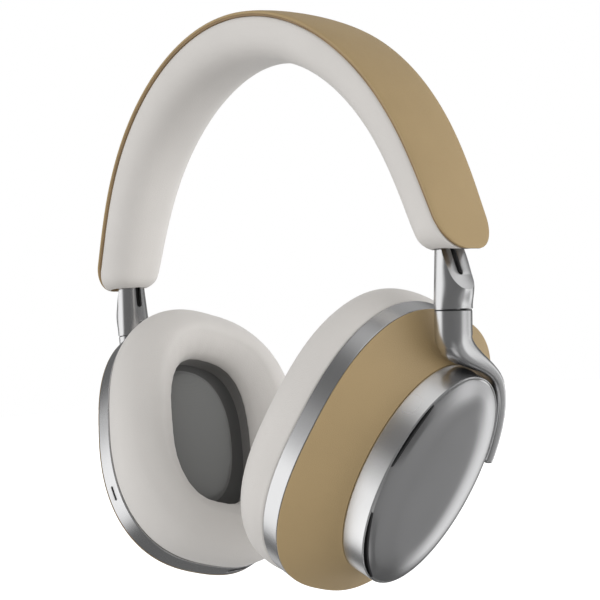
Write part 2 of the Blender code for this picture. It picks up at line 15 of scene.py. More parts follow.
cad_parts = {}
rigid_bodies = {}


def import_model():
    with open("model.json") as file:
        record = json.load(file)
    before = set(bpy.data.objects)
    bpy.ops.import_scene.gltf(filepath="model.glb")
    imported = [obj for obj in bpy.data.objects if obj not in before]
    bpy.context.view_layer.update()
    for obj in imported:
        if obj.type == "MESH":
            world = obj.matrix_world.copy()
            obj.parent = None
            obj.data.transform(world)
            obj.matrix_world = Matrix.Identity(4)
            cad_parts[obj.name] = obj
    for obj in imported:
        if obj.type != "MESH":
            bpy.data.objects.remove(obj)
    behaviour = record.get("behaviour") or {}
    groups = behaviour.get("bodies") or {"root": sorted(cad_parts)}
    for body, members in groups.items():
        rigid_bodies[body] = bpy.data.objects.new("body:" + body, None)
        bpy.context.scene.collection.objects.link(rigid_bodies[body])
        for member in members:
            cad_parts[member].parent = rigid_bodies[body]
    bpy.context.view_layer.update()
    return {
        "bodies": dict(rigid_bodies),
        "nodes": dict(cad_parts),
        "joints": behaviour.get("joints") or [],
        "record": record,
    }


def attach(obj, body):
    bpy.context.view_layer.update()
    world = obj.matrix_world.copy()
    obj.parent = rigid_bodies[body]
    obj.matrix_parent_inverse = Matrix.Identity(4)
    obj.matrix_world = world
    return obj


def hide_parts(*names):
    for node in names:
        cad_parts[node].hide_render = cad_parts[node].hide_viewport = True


SIDES = (("left", 1), ("right", -1))

# Driving dimensions. The arm, its slot, the yoke and its strap differ from the CAD's by up to 0.7 mm.
CUP_DROP = 0.1320  # how far the cups' middle lies below the origin
CUP_REACH = 0.0452  # from the middle plane to the seam behind a cushion
CUP_TILT = math.radians(25.2)  # how far a cup faces down
CUP_LEAN = math.radians(17.8)  # how far a cup's long axis leans from upright
ARCH_RADIUS = 0.1245
ARCH_HARMONICS = (-0.0145, 0.0094, 0.0035, 0.001)
ARCH_END = 0.0588  # height of the band's ends above the cups' middle
BAND_HALF_WIDTH = 0.0125
BAND_WIDENING = 0.0026
END_BLEND = 0.020  # the band's last stretch, where it thins and turns level
TRIM_HEIGHT = 0.0006
ARM_FOOT = Vector((0.0832, 0, 0.0410))
ARM_TOP = Vector((0.0844, 0, 0.0602))
ARM_HALF_DEPTH = 0.0051
ARM_HALF_WIDTH = 0.0064
ARM_NARROWING = 0.0012
ARM_BULGE = 0.0013
BULGE_REACH = 0.72
ARM_SQUARENESS = 2.3
SCOOP = (
    (0.0066, 0.0056), (0.0056, 0.0072), (0.0044, 0.0090), (0.0034, 0.0107), (0.0023, 0.0132),
    (0.0009, 0.0166), (-0.0006, 0.0202), (0.0140, 0.0202), (0.0140, 0.0056),
)  # side view of the hollow cut from the arm's outer face: outward, up
SLOT_HALF_WIDTH = 0.0012
SLOT_FOOT = 0.0105
SCREW_HEIGHT = 0.0039
SCREW_RADIUS = 0.0008
CLEARANCE = 0.0003
RAIL_INSET = 0.0092
RAIL_RISE = 0.0040
YOKE_HALF_DEPTH = 0.0050
YOKE_HALF_WIDTH = 0.0062
SLIDE_ANGLE = math.radians(24)
CUP_OVAL = (0.0385, 0.0492, 2.5)
NECK_OVAL = (0.0228, 0.0362, 2.06)
OPENING = (0.0220, 0.0320, 2.3)
RING_DEPTH = 0.0073
SHELL_DEPTH = 0.0185
COLLAR_DEPTH = 0.0264
STRAP_GAP = 0.0013
STRAP_HALF_THICKNESS = 0.0020
STRAP_HALF_WIDTH = 0.0045
STRAP_SQUARENESS = 3.6
STRAP_MIDDLE = 0.0224
STRAP_START, STRAP_END = math.radians(62), math.radians(16)
GAP = 0.0004  # between pieces that touch
SWIVEL_PIN_RADIUS = 0.0022

# The studio.
FLOOR_HEIGHT = -0.60
FLOOR_REACH = 12.0
FLOOR_GLOW = 0.6

# Fineness of the visible meshes.
OVAL_STEPS = 160
ARCH_STEPS = 150
FILLET_STEPS = 4
ROUND_END_STEPS = 10
SLOT_STEPS = 12
FLAT_SUPPORT = 0.04  # an extra row this share along the flat beside a fillet keeps the flat's shading flat
CRISP_ANGLE = 38  # degrees above which an edge is shaded sharp
SOFT_CRISP_ANGLE = 60
YOKE_CRISP_ANGLE = PLATE_CRISP_ANGLE = 50


# Numbers and placing.


def clamped(value):
    return min(1, max(0, value))


def row(point):
    """A point given from the middle of the cups, in the CAD's frame."""
    return Vector(point) - Vector((0, 0, CUP_DROP))


def mirror(side):
    return Matrix.Diagonal((side, 1, 1, 1))


def cup_axes():
    outward = Vector((math.cos(CUP_TILT), 0, -math.sin(CUP_TILT)))
    upward = Vector((math.sin(CUP_TILT), 0, math.cos(CUP_TILT)))
    back = Vector((0, 1, 0))
    across = math.cos(CUP_LEAN) * back - math.sin(CUP_LEAN) * upward
    along = math.sin(CUP_LEAN) * back + math.cos(CUP_LEAN) * upward
    return across, along, outward


def cup_frame():
    return Matrix.Translation(row((CUP_REACH, 0, 0))) @ Matrix(cup_axes()).transposed().to_4x4()


def frame_from(origin, z_axis, x_hint):
    z = Vector(z_axis).normalized()
    x = (Vector(x_hint) - z * z.dot(Vector(x_hint))).normalized()
    return Matrix.Translation(origin) @ Matrix((x, z.cross(x), z)).transposed().to_4x4()


# Mesh making.


def make(name, shape, finish, body, replaced, matrix=None, sharp=CRISP_ANGLE):
    """The bmesh as a piece that rides on a CAD body and stands for the CAD nodes."""
    if matrix is not None:
        shape.transform(matrix)
    shape.normal_update()
    bmesh.ops.recalc_face_normals(shape, faces=shape.faces)
    mesh = bpy.data.meshes.new(name)
    shape.to_mesh(mesh)
    shape.free()
    mesh.shade_smooth()
    mesh.set_sharp_from_angle(angle=math.radians(sharp))
    obj = bpy.data.objects.new(name, mesh)
    bpy.context.scene.collection.objects.link(obj)
    mesh.materials.append(finish)
    return settle(obj, body, replaced)


def settle(obj, body, replaced):
    """Puts the piece on its body and hides the CAD nodes that it stands for."""
    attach(obj, body)
    if replaced:
        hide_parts(*replaced)
    return obj


def loft(sections, ring=False):
    """Joins rows of points into one skin, closed by end faces or, for a ring, back to the first row."""
    shape = bmesh.new()
    rows = [[shape.verts.new(point) for point in section] for section in sections]
    spans = list(zip(rows, rows[1:] + rows[:1]))
    for first, second in spans if ring else spans[:-1]:
        for i in range(len(first)):
            shape.faces.new((first[i - 1], first[i], second[i], second[i - 1]))
    if not ring:
        shape.faces.new(rows[0])
        shape.faces.new(rows[-1])
    return shape


def filleted(points, radii):
    """A closed profile with its corners rounded. A point is a share, an inset and a depth."""
    vectors = [Vector(p) for p in points]
    radii = radii if isinstance(radii, (list, tuple)) else [radii] * len(points)
    result = []
    for i, point in enumerate(vectors):
        before, after = vectors[i - 1], vectors[(i + 1) % len(vectors)]
        if radii[i] == 0:
            result.append(point)
            continue
        start = point + (before - point) * min(0.45, radii[i] / max(1e-9, (before - point).length))
        end = point + (after - point) * min(0.45, radii[i] / max(1e-9, (after - point).length))
        result.append(start + (before - start) * FLAT_SUPPORT)
        for k in range(FILLET_STEPS + 1):
            t = k / FILLET_STEPS
            result.append(start * (1 - t) ** 2 + point * 2 * t * (1 - t) + end * t * t)
        result.append(end + (after - end) * FLAT_SUPPORT)
    return result


def smooth_profile(points, steps, closed=False):
    """A Catmull-Rom curve through the points."""
    vectors = [Vector(p) for p in points]
    count = len(vectors)
    result = []
    for i in range(count if closed else count - 1):
        p1, p2 = vectors[i], vectors[(i + 1) % count]
        p0 = vectors[i - 1] if closed or i > 0 else p1
        p3 = vectors[(i + 2) % count] if closed or i + 2 < count else p2
        for k in range(steps):
            t = k / steps
            result.append(
                0.5 * (2 * p1 + (p2 - p0) * t + (2 * p0 - 5 * p1 + 4 * p2 - p3) * t * t
                       + (3 * p1 - p0 - 3 * p2 + p3) * t**3)
            )
    if not closed:
        result.append(vectors[-1])
    return result


def oval_point(oval, angle, depth):
    half_width, half_height, squareness = oval
    c, s = math.cos(angle), math.sin(angle)
    x = half_width * math.copysign(abs(c) ** (2 / squareness), c)
    y = half_height * math.copysign(abs(s) ** (2 / squareness), s)
    return Vector((x, y, depth))


def oval_ring(oval, depth, steps=OVAL_STEPS):
    return [oval_point(oval, math.tau * (i + 0.5) / steps, depth) for i in range(steps)]


def mixed(first, second, share, draw_in):
    """An oval part of the way between two others, drawn in."""
    half_width, half_height, squareness = (a + (b - a) * share for a, b in zip(first, second))
    return half_width - draw_in, half_height - draw_in, squareness


def inset(oval, amount):
    return oval[0] - amount, oval[1] - amount, oval[2]


def box_shape(low, high):
    shape = bmesh.new()
    bmesh.ops.create_cube(shape, size=1)
    size, middle = Vector(high) - Vector(low), (Vector(high) + Vector(low)) / 2
    shape.transform(Matrix.Translation(middle) @ Matrix.Diagonal(size).to_4x4())
    return shape


def cylinder_shape(radius, low, high, steps=48):
    shape = bmesh.new()
    bmesh.ops.create_cone(
        shape, cap_ends=True, segments=steps, radius1=radius, radius2=radius, depth=high - low,
        matrix=Matrix.Translation((0, 0, (low + high) / 2)),
    )
    return shape


def slab_shape(half_width, half_length, low, high, soft):
    """A pill-shaped slab: X across, Y along, Z out, its top edge softened."""
    outline = []
    straight = half_length - half_width
    for end in (1, -1):
        for i in range(ROUND_END_STEPS + 1):
            angle = math.pi * i / ROUND_END_STEPS + (0 if end > 0 else math.pi)
            outline.append((math.cos(angle), math.sin(angle), end * straight))
    layers = [(0, low), (0, high - soft)]
    for turn in (math.pi / 6, math.pi / 3, math.pi / 2):
        layers.append((soft * (1 - math.cos(turn)), high - soft + soft * math.sin(turn)))
    sections = []
    for draw_in, z in layers:
        r = half_width - draw_in
        sections.append([Vector((c * r, s * r + shift, z)) for c, s, shift in outline])
    return loft(sections)


def apply_modifiers(obj):
    """Turns the object's modifiers into its mesh."""
    graph = bpy.context.evaluated_depsgraph_get()
    graph.update()
    mesh = bpy.data.meshes.new_from_object(obj.evaluated_get(graph))
    old = obj.data
    obj.modifiers.clear()
    obj.data = mesh
    bpy.data.meshes.remove(old)


def carve(obj, cutters, bevel=0.0):
    """Cuts the shapes out of the piece and softens the new edges."""
    helpers = []
    for shape, matrix in cutters:
        shape.transform(matrix)
        shape.normal_update()
        bmesh.ops.recalc_face_normals(shape, faces=shape.faces)
        mesh = bpy.data.meshes.new("cutter")
        shape.to_mesh(mesh)
        shape.free()
        helper = bpy.data.objects.new("cutter", mesh)
        bpy.context.scene.collection.objects.link(helper)
        helpers.append(helper)
        boolean = obj.modifiers.new("Cut", "BOOLEAN")
        boolean.operation = "DIFFERENCE"
        boolean.solver = "EXACT"
        boolean.object = helper
    if bevel:
        soften = obj.modifiers.new("Soften", "BEVEL")
        soften.width = bevel
        soften.segments = 2
        soften.limit_method = "ANGLE"
        soften.angle_limit = math.radians(34)
        soften.harden_normals = False
    bpy.context.view_layer.update()
    apply_modifiers(obj)
    for helper in helpers:
        bpy.data.objects.remove(helper, do_unlink=True)
    obj.data.shade_smooth()
    obj.data.set_sharp_from_angle(angle=math.radians(CRISP_ANGLE))


# Materials.


def new_material(name, colour, roughness, metallic=0.0, **sockets):
    """A material with its Principled shader set. A keyword names a socket, with _ for each space."""
    made = bpy.data.materials.new(name)
    made.use_nodes = True
    nodes = made.node_tree.nodes
    shader = nodes["Principled BSDF"]
    shader.inputs["Base Color"].default_value = (*colour, 1)
    shader.inputs["Roughness"].default_value = roughness
    shader.inputs["Metallic"].default_value = metallic
    for socket, value in sockets.items():
        shader.inputs[socket.replace("_", " ")].default_value = value
    return made, nodes, made.node_tree.links, shader


def coordinates(nodes, links, scale=(1, 1, 1)):
    """The piece's own coordinates, scaled."""
    place = nodes.new("ShaderNodeTexCoord")
    mapping = nodes.new("ShaderNodeMapping")
    mapping.inputs["Scale"].default_value = scale
    links.new(place.outputs["Object"], mapping.inputs["Vector"])
    return mapping.outputs["Vector"]


def noise_node(nodes, links, vector, scale, detail=3.0, rough=0.5):
    texture = nodes.new("ShaderNodeTexNoise")
    texture.inputs["Scale"].default_value = scale
    texture.inputs["Detail"].default_value = detail
    texture.inputs["Roughness"].default_value = rough
    links.new(vector, texture.inputs["Vector"])
    return texture.outputs["Fac"]


def ramp(nodes, links, value, stops):
    """A colour ramp. A stop is a position and a colour, or a position and one grey level in a tuple."""
    node = nodes.new("ShaderNodeValToRGB")
    while len(node.color_ramp.elements) < len(stops):
        node.color_ramp.elements.new(0.5)
    for element, (position, colour) in zip(node.color_ramp.elements, stops):
        element.position = position
        element.color = (*colour, 1) if len(colour) == 3 else (colour[0],) * 3 + (1,)
    links.new(value, node.inputs["Fac"])
    return node.outputs["Color"]


def bump(nodes, links, height, strength, distance, normal=None):
    node = nodes.new("ShaderNodeBump")
    node.inputs["Strength"].default_value = strength
    node.inputs["Distance"].default_value = distance
    links.new(height, node.inputs["Height"])
    if normal is not None:
        links.new(normal, node.inputs["Normal"])
    return node.outputs["Normal"]


def leather(name, colour, roughness, grain, variation, sheen):
    """Fine pebbled leather: cells with creases between them, over slow changes of tone."""
    made, nodes, links, shader = new_material(name, colour, roughness, Sheen_Weight=sheen)
    shader.inputs["Specular IOR Level"].default_value = 0.35
    vector = coordinates(nodes, links)
    cells = nodes.new("ShaderNodeTexVoronoi")
    cells.feature = "DISTANCE_TO_EDGE"
    cells.inputs["Scale"].default_value = grain
    warp = nodes.new("ShaderNodeTexNoise")
    warp.inputs["Scale"].default_value = grain * 0.6
    links.new(vector, warp.inputs["Vector"])
    mix = nodes.new("ShaderNodeVectorMath")
    mix.operation = "MULTIPLY_ADD"
    mix.inputs[1].default_value = (1.2 / grain,) * 3
    links.new(warp.outputs["Color"], mix.inputs[0])
    links.new(vector, mix.inputs[2])
    links.new(mix.outputs[0], cells.inputs["Vector"])
    creases = ramp(nodes, links, cells.outputs["Distance"], [(0.0, (0.0,)), (0.18, (1.0,))])
    pores = noise_node(nodes, links, vector, grain * 2.3, 2.0)
    normal = bump(nodes, links, creases, 0.22, 0.00012)
    normal = bump(nodes, links, pores, 0.12, 0.00008, normal)
    links.new(normal, shader.inputs["Normal"])
    slow = noise_node(nodes, links, vector, 38, 3.0)
    darker = tuple(c * (1 - variation) for c in colour)
    lighter = tuple(min(1, c * (1 + variation)) for c in colour)
    tone = ramp(nodes, links, slow, [(0.3, darker), (0.7, lighter)])
    links.new(tone, shader.inputs["Base Color"])
    rough = ramp(nodes, links, creases, [(0.0, (min(1, roughness + 0.12),)), (1.0, (roughness,))])
    links.new(rough, shader.inputs["Roughness"])
    return made


def metal(name, colour, roughness, spread=0.015, grain=900, strength=0.008, stretch=(1, 1, 1)):
    """Satin metal with a fine blasted grain and slight changes of gloss."""
    made, nodes, links, shader = new_material(name, colour, roughness, 1.0)
    vector = coordinates(nodes, links, stretch)
    fine = noise_node(nodes, links, vector, grain, 2.0, 0.6)
    links.new(bump(nodes, links, fine, strength, 0.00006), shader.inputs["Normal"])
    slow = noise_node(nodes, links, coordinates(nodes, links), 30, 2.0)
    gloss = ramp(nodes, links, slow, [(0.3, (max(0.02, roughness - spread),)), (0.7, (roughness + spread,))])
    links.new(gloss, shader.inputs["Roughness"])
    return made


def plastic(name, colour, roughness, grain=1500, strength=0.06, metallic=0.0):
    """A plain moulded or painted finish with a fine grain."""
    made, nodes, links, shader = new_material(name, colour, roughness, metallic)
    vector = coordinates(nodes, links)
    fine = noise_node(nodes, links, vector, grain, 3.0)
    links.new(bump(nodes, links, fine, strength, 0.00005), shader.inputs["Normal"])
    darker, lighter = tuple(c * 0.88 for c in colour), tuple(min(1, c * 1.1) for c in colour)
    tone = ramp(nodes, links, noise_node(nodes, links, vector, 90, 3.0), [(0.3, darker), (0.7, lighter)])
    links.new(tone, shader.inputs["Base Color"])
    return made


def woven(name, colour, pitch, strength):
    """Acoustic cloth: two sets of threads crossing, in the piece's own frame."""
    made, nodes, links, shader = new_material(name, colour, 0.85, Sheen_Weight=0.25)
    vector = coordinates(nodes, links)
    heights = []
    for turn in (math.radians(45), math.radians(-45)):
        mapping = nodes.new("ShaderNodeMapping")
        mapping.inputs["Rotation"].default_value = (turn, 0, turn)
        links.new(vector, mapping.inputs["Vector"])
        wave = nodes.new("ShaderNodeTexWave")
        wave.inputs["Scale"].default_value = 0.314 / pitch
        wave.inputs["Distortion"].default_value = 0.4
        links.new(mapping.outputs["Vector"], wave.inputs["Vector"])
        heights.append(wave.outputs["Fac"])
    cross = nodes.new("ShaderNodeMath")
    cross.operation = "MAXIMUM"
    links.new(heights[0], cross.inputs[0])
    links.new(heights[1], cross.inputs[1])
    links.new(bump(nodes, links, cross.outputs[0], strength, 0.0001), shader.inputs["Normal"])
    tone = ramp(nodes, links, cross.outputs[0], [(0.2, tuple(c * 0.88 for c in colour)), (0.9, colour)])
    links.new(tone, shader.inputs["Base Color"])
    return made


TAN_COLOUR = (0.405, 0.292, 0.148)
GREY_COLOUR = (0.655, 0.630, 0.602)


def make_materials():
    """Every finish by a short name. The first number after a colour is the roughness."""
    return {
        "tan": leather("tan_leather", TAN_COLOUR, 0.56, grain=1500, variation=0.04, sheen=0.02),
        "tan_shell": leather("tan_shell_leather", TAN_COLOUR, 0.42, grain=1700, variation=0.03, sheen=0.05),
        "tan_edge": plastic("tan_edge_paint", (0.27, 0.175, 0.08), 0.45),
        "grey": leather("grey_leather", GREY_COLOUR, 0.52, grain=1400, variation=0.025, sheen=0.12),
        "metal": metal("silver_metal", (0.64, 0.64, 0.645), 0.26),
        "collar": metal("collar_metal", (0.77, 0.77, 0.775), 0.26),
        "plate": metal("silver_plate", (0.46, 0.46, 0.465), 0.25, grain=1100, strength=0.01),
        "bright": metal("polished_edge", (0.78, 0.78, 0.78), 0.16, spread=0.01, grain=600, strength=0.003),
        "button": metal("button_metal", (0.55, 0.55, 0.56), 0.3),
        "steel": metal("polished_steel", (0.6, 0.6, 0.61), 0.18),
        "spring": metal("spring_steel", (0.38, 0.38, 0.40), 0.32, spread=0.05, grain=400, strength=0.05,
                        stretch=(1, 1, 12)),
        "black": plastic("black_plastic", (0.02, 0.02, 0.021), 0.5),
        "mesh": woven("dark_mesh", (0.170, 0.172, 0.168), pitch=0.00035, strength=0.12),
        # The ear cloth's border gets a darker copy of the cloth: painted shade for the recess round the
        # raised panel.
        "mesh_border_painted_shade": woven("mesh_border_painted_shade", (0.085, 0.085, 0.083), pitch=0.00035, strength=0.12),
        "liner": woven("liner_cloth", (0.185, 0.178, 0.170), pitch=0.0005, strength=0.3),
        "cone": plastic("driver_cone", (0.02, 0.02, 0.02), 0.35, grain=700, strength=0.2),
        "board": plastic("circuit_board", (0.02, 0.12, 0.05), 0.4, grain=300, strength=0.2),
        "foil": plastic("battery_foil", (0.42, 0.44, 0.46), 0.35, grain=250, strength=0.25, metallic=0.6),
        "rubber": plastic("cable_rubber", (0.012, 0.012, 0.012), 0.6),
    }


# Headband.


def arch_point(angle):
    """The band's middle line, where the cover meets the cushion, by its angle above level."""
    radius = ARCH_RADIUS + sum(h * math.cos(2 * (i + 1) * angle) for i, h in enumerate(ARCH_HARMONICS))
    return Vector((radius * math.cos(angle), 0, radius * math.sin(angle)))


def arch_end_angle():
    low, high = math.radians(20), math.radians(60)
    for _ in range(40):
        middle = (low + high) / 2
        low, high = (middle, high) if arch_point(middle).z < ARCH_END else (low, middle)
    return low


def arch_frame(angle):
    """A point of the middle line and the way out of the band there, which turns level towards the ends."""
    step = 0.002
    tangent = (arch_point(angle + step) - arch_point(angle - step)).normalized()
    outward = Vector((tangent.z, 0, -tangent.x))
    point = arch_point(angle)
    share = max(0, 1 - (point.z - ARCH_END) / END_BLEND)
    level = Vector((math.copysign(1, point.x), 0, 0))
    return point, outward.lerp(level, share * share).normalized()


def arch_angles():
    """Angles from end to end, much closer together near the ends, where the band is rounded off."""
    start = arch_end_angle()
    reach = math.pi / 2 - start
    angles = []
    for i in range(ARCH_STEPS + 1):
        t = 2 * i / ARCH_STEPS - 1
        angles.append(math.pi / 2 + reach * math.copysign(1 - (1 - abs(t)) ** 1.6, t))
    return angles


def band_half_width(angle):
    return BAND_HALF_WIDTH - BAND_WIDENING * math.cos(2 * angle)


def corner_inset(rise, radius):
    """How far a corner of this radius draws in at a rise above the band's end."""
    if rise >= radius:
        return 0
    return radius - math.sqrt(max(0, radius**2 - (radius - rise) ** 2))


def arch_loft(outline):
    """A loft along the arch. outline gives (across, outward) points for an angle and a rise above the end."""
    sections = []
    for angle in arch_angles():
        point, outward = arch_frame(angle)
        rise = max(0, point.z - ARCH_END)
        ring = outline(angle, rise)
        sections.append([row(point + outward * out + Vector((0, across, 0))) for across, out in ring])
    return loft(sections)


COVER_CORNER = 0.0100  # radius of the cover's four corners
SHOULDER_HEIGHT, SHOULDER_THINNING = 0.0015, 0.0002  # the height, and how much lower it is at the ends
CROWN_HEIGHT, CROWN_THINNING = 0.0028, 0.0011
SHOULDER_ROUNDING = 0.00055
SHOULDER_STEPS = 4
CROWN_STEPS = 8
CROWN_POWER = 0.85  # below 1, the crown is fuller than an ellipse's


def cover_outline(angle, rise):
    """The tan cover: upright sides, a rounded shoulder and a crowned top."""
    half = band_half_width(angle) - 0.9 * corner_inset(rise, COVER_CORNER)
    end = max(0, 1 - rise / END_BLEND)
    base, shoulder = TRIM_HEIGHT, SHOULDER_HEIGHT - SHOULDER_THINNING * end
    crown = CROWN_HEIGHT - CROWN_THINNING * end - 0.3 * corner_inset(rise, 0.0010)
    spring = shoulder - SHOULDER_ROUNDING * 0.6
    points = [(half - 0.00025, base), (half, base + 0.00018), (half, spring)]
    for i in range(1, SHOULDER_STEPS):
        turn = math.pi / 2 * i / SHOULDER_STEPS
        across = half - SHOULDER_ROUNDING * (1 - math.cos(turn))
        points.append((across, spring + SHOULDER_ROUNDING * 0.9 * math.sin(turn)))
    side = list(points)
    top_half, top_start = points[-1]
    for i in range(1, 2 * CROWN_STEPS):
        y = 1 - i / CROWN_STEPS
        points.append((top_half * y, top_start + (1 - y * y) ** CROWN_POWER * (crown - top_start)))
    return points + [(-across, out) for across, out in reversed(side)]


TRIM_INSET = 0.00028  # leaves a fine line on both sides of the cut edge
TRIM_CHAMFER = 0.0006


def trim_outline(angle, rise):
    """The darker cut edge under the cover."""
    half = band_half_width(angle) - TRIM_INSET - 0.9 * corner_inset(rise, COVER_CORNER)
    side = [(half - TRIM_CHAMFER, -0.0001), (half, 0.00005), (half, TRIM_HEIGHT - 0.00005),
            (half - TRIM_CHAMFER, TRIM_HEIGHT + 0.0001)]
    return side + [(-across, out) for across, out in reversed(side)]


PAD_INSET = 0.0003
PAD_DEPTH, PAD_CROWN = 0.0135, 0.0008  # the depth, and how much deeper it is at the crown
PAD_SIDE = 0.0018  # height of the pad's upright side under the cover
PAD_SIDE_SQUARENESS, PAD_FACE_SQUARENESS = 2.9, 2.35
PAD_STEPS = 28


def pad_outline(angle, rise):
    """The headband cushion: full sides under the cover and a crowned underside."""
    half = band_half_width(angle) - PAD_INSET - 0.8 * corner_inset(rise, 0.0085)
    deep = PAD_DEPTH + PAD_CROWN * math.sin(angle) ** 6 - 0.45 * corner_inset(rise, 0.0070)
    points = [(half - 0.0006, -0.0002), (half - 0.0002, -0.0007)]
    for i in range(PAD_STEPS + 1):
        a = math.pi * i / PAD_STEPS
        c, s = math.cos(a), math.sin(a)
        across = half * math.copysign(abs(c) ** (2 / PAD_SIDE_SQUARENESS), c)
        points.append((across, -PAD_SIDE - (deep - PAD_SIDE) * abs(s) ** (2 / PAD_FACE_SQUARENESS)))
    return points + [(-half + 0.0002, -0.0007), (-half + 0.0006, -0.0002)]


def rail_frame():
    """Z runs up the rail from the band's end, X outward across it."""
    end, _ = arch_frame(arch_end_angle())
    direction = Vector((-math.sin(SLIDE_ANGLE), 0, math.cos(SLIDE_ANGLE)))
    return frame_from(row(end + Vector((-RAIL_INSET, 0, RAIL_RISE))), direction, (1, 0, 0))


# Room in the pad for the rail, by its corners, and for the arm, as a slab, a shift and a stretch.
RAIL_POCKET = ((-0.0016, -0.0042, -0.004), (0.0072, 0.0042, 0.043))
ARM_POCKET = (0.0062, 0.0072, 0.0150, 0.0220, 0.001)
POCKET_SHIFT, POCKET_STRETCH = (0.0012, 0, 0), (1.1, 0.96, 1, 1)


def make_headband(mats):
    make("headband_cover_skin", arch_loft(cover_outline), mats["tan"], "headband",
         ["headband_cover"], sharp=SOFT_CRISP_ANGLE)
    make("headband_trim", arch_loft(trim_outline), mats["tan_edge"], "headband", [],
         sharp=SOFT_CRISP_ANGLE)
    pad = make("headband_pad", arch_loft(pad_outline), mats["grey"], "headband",
               ["headband_cushion"], sharp=SOFT_CRISP_ANGLE)
    pockets = []
    for _, side in SIDES:
        pockets.append((box_shape(*RAIL_POCKET), mirror(side) @ rail_frame()))
        widen = Matrix.Translation(POCKET_SHIFT) @ Matrix.Diagonal(POCKET_STRETCH)
        pockets.append((slab_shape(*ARM_POCKET), mirror(side) @ arm_frame() @ widen))
    carve(pad, pockets)


# Arms.
ARM_RING_STEPS = 96
ARM_SECTIONS = 30
SMALL_RING_STEPS = 64
WASHER_INSET = 0.0003


def arm_axis():
    return (ARM_TOP - ARM_FOOT).normalized()


def arm_frame():
    return frame_from(row(ARM_FOOT), arm_axis(), (1, 0, 0))


def arm_section(share):
    """A section of the arm, fuller on the outer face below the scoop."""
    middle = ARM_FOOT.lerp(ARM_TOP, share)
    bulge = ARM_BULGE * math.sin(math.pi * min(1, share / BULGE_REACH)) ** 2
    oval = (ARM_HALF_DEPTH, ARM_HALF_WIDTH - ARM_NARROWING * share, ARM_SQUARENESS)
    ring = oval_ring(oval, 0, ARM_RING_STEPS)
    return [row(middle + Vector((p.x + bulge * max(0, p.x) / ARM_HALF_DEPTH, p.y, 0))) for p in ring]


def slot_shape(half_width, low, high, start, end):
    """A slot along X with a round lower end."""
    outline = []
    for i in range(SLOT_STEPS + 1):
        angle = math.pi + math.pi * i / SLOT_STEPS
        outline.append((half_width * math.cos(angle), low + half_width + half_width * math.sin(angle)))
    outline += [(half_width, high), (-half_width, high)]
    return loft([[Vector((x, y, z)) for y, z in outline] for x in (start, end)])


def make_arm(mats, side_name, side):
    """The arm with its scoop, cable slot and the holes for screw and pin, and the black washer below it."""
    flip = mirror(side)
    frame = flip @ arm_frame()
    length = (ARM_TOP - ARM_FOOT).length
    body = f"{side_name}_slider"
    sections = [arm_section(i / ARM_SECTIONS) for i in range(ARM_SECTIONS + 1)]
    arm = make(f"{side_name}_arm", loft(sections), mats["metal"], body,
               [f"{side_name}_slider_arm"], flip)
    curve = smooth_profile([(x, z, 0) for x, z in SCOOP[:-2]], steps=5)
    hollow = [(p.x, p.y) for p in curve] + list(SCOOP[-2:])
    scoop = loft([[Vector((x, y, z)) for x, z in hollow] for y in (-0.01, 0.01)])
    screw = frame @ Matrix.Translation((-0.0058, 0, SCREW_HEIGHT)) @ Matrix.Rotation(math.pi / 2, 4, "Y")
    carve(arm, [
        (scoop, frame),
        (slot_shape(SLOT_HALF_WIDTH, SLOT_FOOT, length + 0.004, -0.01, 0.01), frame),
        (cylinder_shape(SWIVEL_PIN_RADIUS + CLEARANCE, -0.001, 0.0065), frame),
        (cylinder_shape(SCREW_RADIUS + CLEARANCE, -0.001, 0.0024, 24), screw),
    ], bevel=0.00016)
    oval = (ARM_HALF_DEPTH - WASHER_INSET, ARM_HALF_WIDTH - WASHER_INSET, ARM_SQUARENESS)
    washer = [oval_ring(oval, z, SMALL_RING_STEPS) for z in (-GAP + 0.00003, -0.00003)]
    make(f"{side_name}_arm_washer", loft(washer), mats["black"], body, [], frame)


# Yokes.
STRAP_POINTS = 9
NECK_POINTS = 9
ELBOW_DROP = 0.0070  # the neck runs straight this far, then turns backwards
LOW_HANDLE, HIGH_HANDLE = 0.0080, 0.0105  # how strongly the turn follows the neck and the strap
TIP_REACH, TIP_INSET = 0.0012, 0.0009  # rounding of the strap's tip
PATH_STEPS = 6


def strap_point(angle):
    reach = STRAP_GAP + STRAP_HALF_THICKNESS
    across, along = NECK_OVAL[0] + reach, NECK_OVAL[1] + reach
    return Vector((across * math.cos(angle), along * math.sin(angle), STRAP_MIDDLE))


